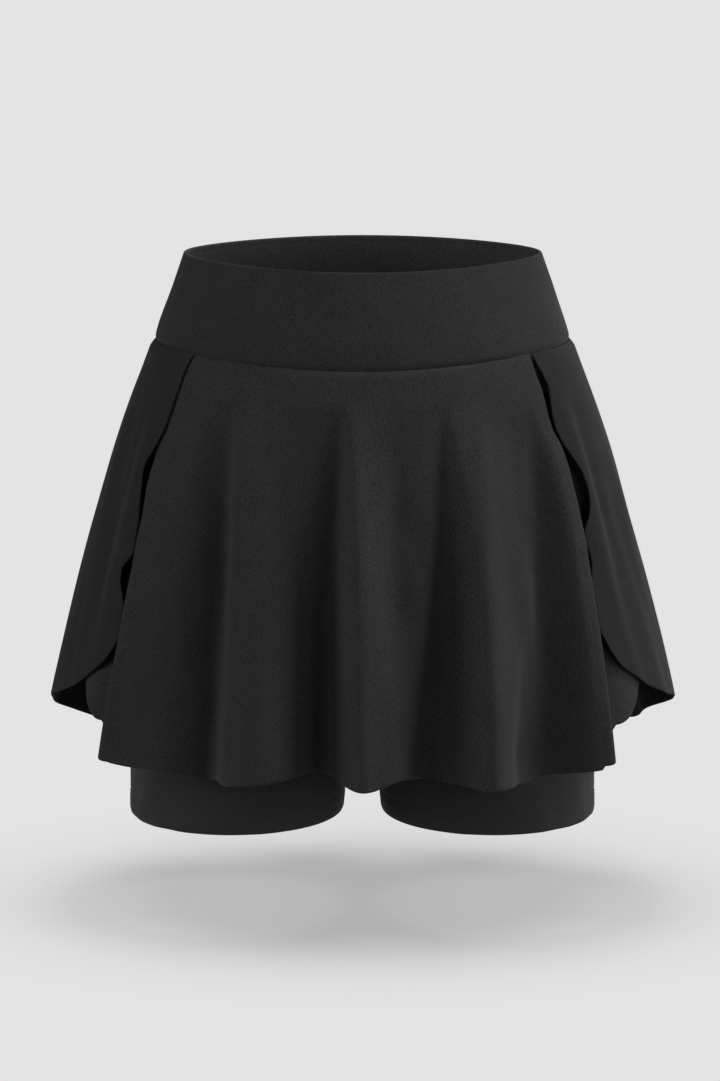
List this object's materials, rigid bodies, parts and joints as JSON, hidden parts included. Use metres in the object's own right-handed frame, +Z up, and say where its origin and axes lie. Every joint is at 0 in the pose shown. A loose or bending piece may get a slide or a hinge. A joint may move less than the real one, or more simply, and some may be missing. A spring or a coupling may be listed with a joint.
{
  "type": "tennis skort",
  "caption": "Tennis skort: wide waistband, flared skirt of lapped front and back panels, close shorts under it.",
  "frame": {"origin": "middle of the waist, halfway up the waistband, where the wearer's waist holds the garment", "axes": "+Z up, +X towards the wearer's left side, -Y towards the front of the garment; in names, right and left are as seen from the front, so right is +X"},
  "size_m": [0.4515, 0.3638, 0.407],
  "materials": {
    "band_knit": "matte",
    "skirt_knit": "matte",
    "shorts_knit": "matte"
  },
  "bodies": {
    "root": {"waistband": "band_knit", "skirt_front": "skirt_knit", "skirt_back": "skirt_knit", "shorts_left": "shorts_knit", "shorts_right": "shorts_knit"}
  },
  "joints": []
}
